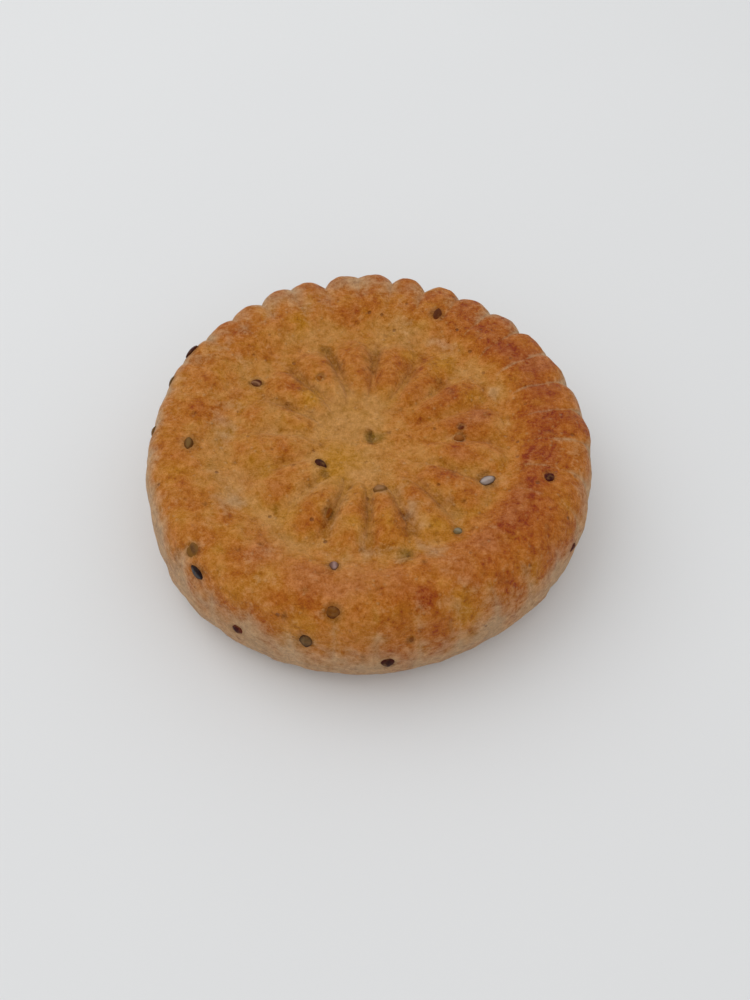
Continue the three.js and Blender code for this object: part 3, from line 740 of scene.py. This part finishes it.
def baked_finish():
    """The crust's finish: pale dough to red-brown by how far each place is browned, mottled from coarse to
    fine, with yellow spice, a rosy bloom, painted shade in the grooves, pit and pores, olive hollows, pale
    flour, burnt pits and semolina grains that are partly painted glints, and a fine crumb with painted
    light and shade, which is also in the bump."""
    finish, shader, node, links = new_finish("baked_crust")
    place = node("TexCoord").outputs["Object"]

    def attribute(name):
        """The value painted on the mesh under this name."""
        return node("Attribute", {"attribute_name": name}).outputs["Fac"]

    def noise(scale, detail, roughness, distortion=0.0):
        """A soft random pattern in space, mostly between 0.3 and 0.7."""
        made = node("TexNoise", None, Vector=place, Scale=scale, Detail=detail, Roughness=roughness)
        made.inputs["Distortion"].default_value = distortion
        return made.outputs["Fac"]

    def maths(operation, first, second, third=0.0):
        """One step of arithmetic on two or three values."""
        return node("Math", {"operation": operation}, i0=first, i1=second, i2=third).outputs[0]

    def swung(base, pattern, swing):
        """The base plus the swing times how far the pattern is from its middle, 0.5."""
        return maths("MULTIPLY_ADD", maths("SUBTRACT", pattern, 0.5), swing, base)

    def spread(value, low, high, to_low=0.0, to_high=1.0):
        """A straight line from to_low, at low and below, to to_high, at high and above."""
        return node("MapRange", None, i0=value, i1=low, i2=high, i3=to_low, i4=to_high).outputs[0]

    def blend(share, first, second):
        """The first colour, less its share, plus that share of the second."""
        return node("Mix", {"data_type": "RGBA"}, i0=share, i6=first, i7=second).outputs[2]

    # Browning: the mould's relief and the oven's patches, mottled.
    mottle = noise(*MOTTLE)
    crumb = noise(*CRUMB)
    unevenness = swung(swung(0.0, noise(*CLOUDS), 0.9), mottle, 0.95)
    calm = spread(attribute("browned"), 0.45, 0.80, 1.0, 0.4)
    browning = maths("MULTIPLY_ADD", unevenness, calm, attribute("browned"))
    ramp = node("ValToRGB", None, Fac=browning)
    while len(ramp.color_ramp.elements) < len(CRUST_COLOURS):
        ramp.color_ramp.elements.new(0.5)
    for element, (position, colour) in zip(ramp.color_ramp.elements, CRUST_COLOURS):
        element.position = position
        element.color = colour
    colour = ramp.outputs[0]

    # Spice, bloom, painted shade in grooves, pit and pores, olive hollows, flour, and darker round seeds.
    spice = swung(attribute("golden"), noise(*SPICE), 2.4)
    colour = blend(spread(spice, 0.1, 1.0, 0, 0.75), colour, SPICE_YELLOW)
    bloom = swung(attribute("rosy"), noise(*BLOOM), 1.6)
    colour = blend(spread(bloom, 0.15, 1.1, 0, 0.7), colour, ROSY_BLOOM)
    # Painted shade: brown along the grooves, where the soft light reaches in less.
    groove_shade = swung(attribute("groove"), mottle, 1.2)
    colour = blend(spread(groove_shade, 0.12, 0.95, 0, 0.80), colour, GROOVE_SHADE_BROWN)
    moist = swung(attribute("olive"), mottle, 1.2)
    colour = blend(spread(moist, 0.2, 1.0, 0, 0.75), colour, OLIVE_DOUGH)
    # Painted shade, darker still, in the pit's bottom and pores; the scorched nicks share it.
    colour = blend(spread(attribute("groove"), 1.0, 1.8, 0, 0.8), colour, DEEP_SHADE_AND_SCORCH)
    flour = swung(attribute("paled"), noise(*FLOUR), 1.7)
    flour = swung(flour, noise(*FLOUR_DRIFTS), -1.1)
    colour = blend(spread(flour, 0.2, 1.1, 0, 0.9), colour, FLOURY_DOUGH)
    # The dough darker round each seed.
    round_seeds = swung(attribute("seed_halo"), mottle, 1.2)
    colour = blend(spread(round_seeds, 0.15, 1.1, 0, 0.55), colour, DARKER_ROUND_SEEDS)

    # The crumb: its own mottled tone, with painted light on its raised grains and painted shade in its
    # pores, with small burnt pits, and pale semolina grains that are partly painted glints.
    crumb_light_and_shade = swung(swung(0.0, crumb, 0.65), noise(*SOFT_CRUMB), 0.16)
    tinted = {"operation": "MULTIPLY_ADD"}
    grainy = node("VectorMath", tinted, i0=crumb_light_and_shade, i1=CRUMB_LIGHT_AND_SHADE_TINT, i2=colour).outputs[0]
    colour = node("VectorMath", {"operation": "MAXIMUM"}, i0=grainy, i1=DARKEST_CRUMB_SHADE).outputs[0]
    pits = node("TexVoronoi", {"feature": "F1"}, Vector=place, Scale=BURNT_PITS, Randomness=1)
    pit_share = spread(pits.outputs["Distance"], 0.07, 0.17, 1, 0)
    pit_kept = spread(node("SeparateColor", None, Color=pits.outputs["Color"]).outputs[0], 0.55, 0.95)
    pit = maths("MULTIPLY", pit_share, pit_kept)
    colour = blend(maths("MULTIPLY", pit, 0.6), colour, BURNT_PIT)
    grains = node("TexVoronoi", {"feature": "F1"}, Vector=place, Scale=SEMOLINA_GRAINS, Randomness=1)
    grain_share = spread(grains.outputs["Distance"], 0.1, 0.45, 1, 0)
    grain_kept = spread(node("SeparateColor", None, Color=grains.outputs["Color"]).outputs[1], 0.80, 0.97)
    pale_grain_and_glint = maths("MULTIPLY", grain_share, grain_kept)
    colour = blend(maths("MULTIPLY", pale_grain_and_glint, 0.30), colour, PALE_SEMOLINA_AND_GLINT)
    links.new(colour, shader.inputs["Base Color"])

    shader.inputs["Specular IOR Level"].default_value = CRUST_SPECULAR
    shader.inputs["Sheen Weight"].default_value = CRUST_SHEEN
    shader.inputs["Sheen Roughness"].default_value = CRUST_SHEEN_ROUGHNESS
    roughness = spread(maths("ADD", mottle, crumb), 0.7, 1.3, 0.75, 0.50)
    links.new(roughness, shader.inputs["Roughness"])

    bump_height = maths("MULTIPLY_ADD", pit, -0.8, maths("MULTIPLY", crumb, 1.5))
    bump_height = maths("MULTIPLY_ADD", pale_grain_and_glint, 0.4, bump_height)
    bump = node("Bump", None, Strength=1.0, Distance=CRUMB_RELIEF, Height=bump_height)
    links.new(bump.outputs[0], shader.inputs["Normal"])
    return finish


crust_mesh.materials.append(baked_finish())
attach(crust, "root")
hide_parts("maamoul")

# ---------------------------------------------------------------------------------------------------------
# The seeds: nigella, kneaded into the dough, so each lies bedded in the crust. A seed is a small angular
# drop with blunt edges and a wrinkled, pitted skin, black to brown, and some are dusted grey by flour.
SEED_THICKNESS = 1.1
SEED_BLUNTNESS = 0.62
SEED_FULLNESS = 1.08
SEED_TAPER = 0.3
BLUNT_EDGES = 0.10
UNEVEN_SIDES = 0.05
SEED_PITTING = 0.06
SHOWN_WIDTH_SHARE = 1.02
CROWN_SHARES = (0.15, 0.65)
RIDGE_AND_HIGHLIGHT_OFFSET = 0.08
SEED_GLOSS = 0.012
LIGHT_ON_SEEDS = 0.9
SEED_RINGS = 15
SEED_SIDES = 16
DOUGH_DUST = (0.20, 0.092, 0.028, 1)
DUST_SCALE = 1000
SEED_SPECULAR = 0.12
SKIN_RELIEF = 0.00015
# Each look is the tone of the seed's rim, the tone of its crown and the tone of a ridge along it, each as
# red, green and blue out of 255, the ridge's half-width as a share of the seed's width, how far the seed
# stands out of its hollow in millimetres, and how glossy it is. On the black, lilac and silver seeds the
# ridge is a painted highlight, and on the silver one the grey crown is painted reflection too.
SEED_LOOKS = {
    "maroon": ((88, 36, 12), (56, 14, 4), (64, 22, 10), 0.13, 0.36, 0.2),
    "brown": ((94, 50, 18), (88, 50, 22), (80, 44, 18), 0.13, 0.34, 0.2),
    "rusty": ((110, 54, 20), (88, 36, 12), (96, 44, 18), 0.13, 0.26, 0.1),
    "split": ((92, 52, 16), (74, 38, 10), (226, 176, 130), 0.07, 0.36, 0.2),
    "faint": ((140, 84, 32), (120, 68, 22), (108, 58, 18), 0.20, 0.18, 0.1),
    "olive": ((88, 56, 24), (104, 76, 42), (116, 90, 54), 0.16, 0.30, 0.3),
    "purple": ((66, 34, 14), (64, 38, 32), (46, 20, 14), 0.13, 0.44, 0.3),
    "proud": ((66, 36, 18), (74, 52, 52), (52, 24, 20), 0.13, 0.58, 0.3),
    "thin": ((84, 60, 30), (104, 80, 52), (88, 62, 36), 0.13, 0.30, 0.2),
    "buried": ((116, 80, 40), (98, 68, 42), (82, 56, 36), 0.13, 0.22, 0.1),
    "black": ((42, 24, 10), (38, 24, 12), (76, 84, 88), 0.09, 0.48, 0.8),
    "lilac": ((86, 60, 44), (108, 80, 72), (196, 168, 166), 0.08, 0.38, 0.4),
    "outlined": ((88, 50, 12), (116, 72, 26), (88, 50, 12), 0.10, 0.28, 0.2),
    "grey": ((60, 40, 18), (104, 82, 56), (84, 62, 40), 0.13, 0.36, 0.2),
    "silver": ((80, 58, 36), (134, 120, 112), (172, 160, 156), 0.13, 0.42, 0.7),
    "slate": ((92, 74, 44), (112, 98, 72), (138, 130, 112), 0.13, 0.32, 0.4),
    "tan": ((112, 76, 40), (146, 108, 74), (110, 76, 44), 0.09, 0.30, 0.1),
    "veiled": ((132, 78, 36), (156, 98, 52), (136, 82, 40), 0.13, 0.24, 0.1),
}


def to_albedo(tone):
    """The colour of a surface that shows as this tone under the soft light: the usual screen curve undone,
    less the gloss, over the light."""
    share = np.array(tone) / 255
    shown = np.where(share < 0.04045, share / 12.92, ((share + 0.055) / 1.055) ** 2.4)
    return np.maximum(shown - SEED_GLOSS, 0.001) / LIGHT_ON_SEEDS


def seed_surface(length, width, turn, proud, number):
    """A drop in its own frame: its half-width is a power of the sine of the way along it, fuller at its
    start, and its section is an ellipse with three blunt edges. It is widened so that the part out of the
    crust, which is a slice of it, has this length and width. The first axis lies along the seed and the
    third stands out of the crust."""
    way = np.linspace(0.03, 0.97, SEED_RINGS)[:, None]
    around = np.linspace(0, 2 * np.pi, SEED_SIDES, endpoint=False)[None]
    girth = np.sin(np.pi * way) ** SEED_BLUNTNESS * (SEED_FULLNESS - SEED_TAPER * way)
    edges = 1 + BLUNT_EDGES * np.cos(3 * around + number * 1.7) + UNEVEN_SIDES * np.cos(5 * around + number)
    pitted = 1 + SEED_PITTING * np.sin(5 * around + 17 * way + number) * np.sin(19 * way + number)
    buried = 1 - 2 * proud / max(SEED_THICKNESS, 2 * proud)
    widening = SHOWN_WIDTH_SHARE / np.sqrt(1 - buried**2)
    x = (way - 0.5) * length * widening + 0 * around
    y = width * widening / 2 * girth * edges * pitted * np.cos(around)
    z = SEED_THICKNESS / 2 * girth * edges * pitted * np.sin(around)
    cosine, sine = np.cos(np.radians(turn)), np.sin(np.radians(turn))
    return np.stack([x * cosine - y * sine, x * sine + y * cosine, z], axis=-1)


def seeds_mesh():
    """All the seeds in one mesh, each bedded in the crust, with its tones and gloss painted on it."""
    ring = np.arange(SEED_RINGS - 1)[:, None] * SEED_SIDES
    side = np.arange(SEED_SIDES)[None]
    onward = (side + 1) % SEED_SIDES
    next_ring = ring + SEED_SIDES
    quads = np.stack([ring + side, ring + onward, next_ring + onward, next_ring + side], axis=-1)
    first_cap = list(range(SEED_SIDES - 1, -1, -1))
    last_cap = list(range((SEED_RINGS - 1) * SEED_SIDES, SEED_RINGS * SEED_SIDES))
    seed_faces = quads.reshape(-1, 4).tolist() + [first_cap, last_cap]
    points, faces, tones, glosses = [], [], [], []
    for number, (degrees, step, length, width, turn, look) in enumerate(seeds_placed):
        rim_tone, crown_tone, ridge_and_highlight_tone, ridge_and_highlight_half_width, proud, gloss = SEED_LOOKS[look]
        bed, outward, along, across = seed_bed(degrees, step)
        surface = seed_surface(length, width, turn, proud, number).reshape(-1, 3)
        crown = smoothstep(*CROWN_SHARES, 1 + (surface[:, 2:] - SEED_THICKNESS / 2) / proud)
        angle = np.radians(turn)
        away_from_ridge_and_highlight = (surface[:, 1:2] * np.cos(angle) - surface[:, :1] * np.sin(angle)) / width
        away_from_ridge_and_highlight = away_from_ridge_and_highlight - RIDGE_AND_HIGHLIGHT_OFFSET
        centre = bed + outward * (proud - SEED_THICKNESS / 2 - HALO_DEPTH)
        faces += [[corner + number * len(surface) for corner in face] for face in seed_faces]
        points.append((centre + surface @ np.stack([along, across, outward]) + into_frame) * MILLIMETRE)
        # Painted highlight: on the black, lilac and silver seeds the ridge's tone is a glint.
        ridge_and_highlight_there = crown * np.exp(-((away_from_ridge_and_highlight / ridge_and_highlight_half_width) ** 2))
        tone = to_albedo(rim_tone) * (1 - crown) + to_albedo(crown_tone) * crown
        tones.append(tone * (1 - ridge_and_highlight_there) + to_albedo(ridge_and_highlight_tone) * ridge_and_highlight_there)
        glosses.append(np.full(len(surface), gloss) * crown[:, 0])
    mesh = bpy.data.meshes.new("seeds")
    mesh.from_pydata(np.concatenate(points).tolist(), [], faces)
    mesh.polygons.foreach_set("use_smooth", np.ones(len(mesh.polygons), dtype=bool))
    shades = np.concatenate(tones)
    colours = mesh.attributes.new("tone", "FLOAT_COLOR", "POINT")
    colours.data.foreach_set("color", np.concatenate([shades, np.ones((len(shades), 1))], axis=1).ravel())
    paint(mesh, "gloss", np.concatenate(glosses))
    return mesh


def seed_finish():
    """The seeds' finish: each seed's own tones, dusted with dough, and a fine wrinkled skin."""
    finish, shader, node, links = new_finish("nigella_seed")
    place = node("TexCoord").outputs["Object"]
    tone = node("Attribute", {"attribute_name": "tone"}).outputs["Color"]
    dust = node("TexNoise", None, Vector=place, Scale=DUST_SCALE, Detail=4, Roughness=0.65).outputs["Fac"]
    dusting = node("MapRange", None, i0=dust, i1=0.50, i2=0.68, i3=0.0, i4=0.6).outputs[0]
    dusted = node("Mix", {"data_type": "RGBA"}, i0=dusting, i6=tone, i7=DOUGH_DUST).outputs[2]
    links.new(dusted, shader.inputs["Base Color"])
    gloss = node("Attribute", {"attribute_name": "gloss"}).outputs["Fac"]
    rough = node("MapRange", None, i0=gloss, i1=0.0, i2=1.0, i3=0.70, i4=0.28).outputs[0]
    links.new(rough, shader.inputs["Roughness"])
    shader.inputs["Specular IOR Level"].default_value = SEED_SPECULAR
    bump = node("Bump", None, Strength=0.8, Distance=SKIN_RELIEF, Height=dust)
    links.new(bump.outputs[0], shader.inputs["Normal"])
    return finish


seeds = bpy.data.objects.new("seeds", seeds_mesh())
bpy.context.scene.collection.objects.link(seeds)
seeds.data.materials.append(seed_finish())
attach(seeds, "root")
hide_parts("maamoul")

# ---------------------------------------------------------------------------------------------------------
# The table and the light: a plain pale sheet of matt board that the biscuit lies on, a large soft light
# overhead, behind and to the left, and an even fill from all round. Sizes and places are in metres.
TABLE_HALF_SIZE = 1.5
SHEET_TINTS = ((0.742, 0.752, 0.760, 1), (0.772, 0.782, 0.790, 1))
SHEET_CLOUDS = 9
SHEET_ROUGHNESS = 0.8
SHEET_SPECULAR = 0.1
FILL_STRENGTH = 0.79
LIGHT_PLACE = (-0.42, 0.22, 0.67)
LIGHT_AIM = (0, 0, 0.01)
LIGHT_SIZE = 0.7
LIGHT_POWER = 1.72

table_mesh = bpy.data.meshes.new("table")
corners = np.array([[-1, -1, 0], [1, -1, 0], [1, 1, 0], [-1, 1, 0]]) * TABLE_HALF_SIZE
table_mesh.from_pydata(corners.tolist(), [], [[0, 1, 2, 3]])
table = bpy.data.objects.new("table", table_mesh)
bpy.context.scene.collection.objects.link(table)
table_finish, table_shader, table_node, table_links = new_finish("pale_sheet")
sheet_place = table_node("TexCoord").outputs["Object"]
sheet_noise = table_node("TexNoise", None, Vector=sheet_place, Scale=SHEET_CLOUDS, Detail=2).outputs["Fac"]
sheet_tint = table_node("ValToRGB", None, Fac=sheet_noise)
sheet_tint.color_ramp.elements[0].color = SHEET_TINTS[0]
sheet_tint.color_ramp.elements[1].color = SHEET_TINTS[1]
table_links.new(sheet_tint.outputs[0], table_shader.inputs["Base Color"])
table_shader.inputs["Roughness"].default_value = SHEET_ROUGHNESS
table_shader.inputs["Specular IOR Level"].default_value = SHEET_SPECULAR
table_mesh.materials.append(table_finish)
table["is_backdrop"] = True

world = bpy.data.worlds.new("even_fill")
world.use_nodes = True
world.node_tree.nodes["Background"].inputs["Color"].default_value = (1.0, 1.0, 1.0, 1)
world.node_tree.nodes["Background"].inputs["Strength"].default_value = FILL_STRENGTH
bpy.context.scene.world = world


def soft_light(name, place, aim, size, power):
    """A square soft light at a place, turned to face a point."""
    lamp = bpy.data.lights.new(name, "AREA")
    lamp.shape = "SQUARE"
    lamp.size = size
    lamp.energy = power
    light = bpy.data.objects.new(name, lamp)
    light.location = place
    towards = np.array(aim) - np.array(place)
    across = np.hypot(towards[0], towards[1])
    light.rotation_euler = (np.arctan2(across, -towards[2]), 0, np.arctan2(-towards[0], towards[1]))
    bpy.context.scene.collection.objects.link(light)


soft_light("overhead", LIGHT_PLACE, LIGHT_AIM, LIGHT_SIZE, LIGHT_POWER)

bpy.context.scene.view_settings.view_transform = "Standard"
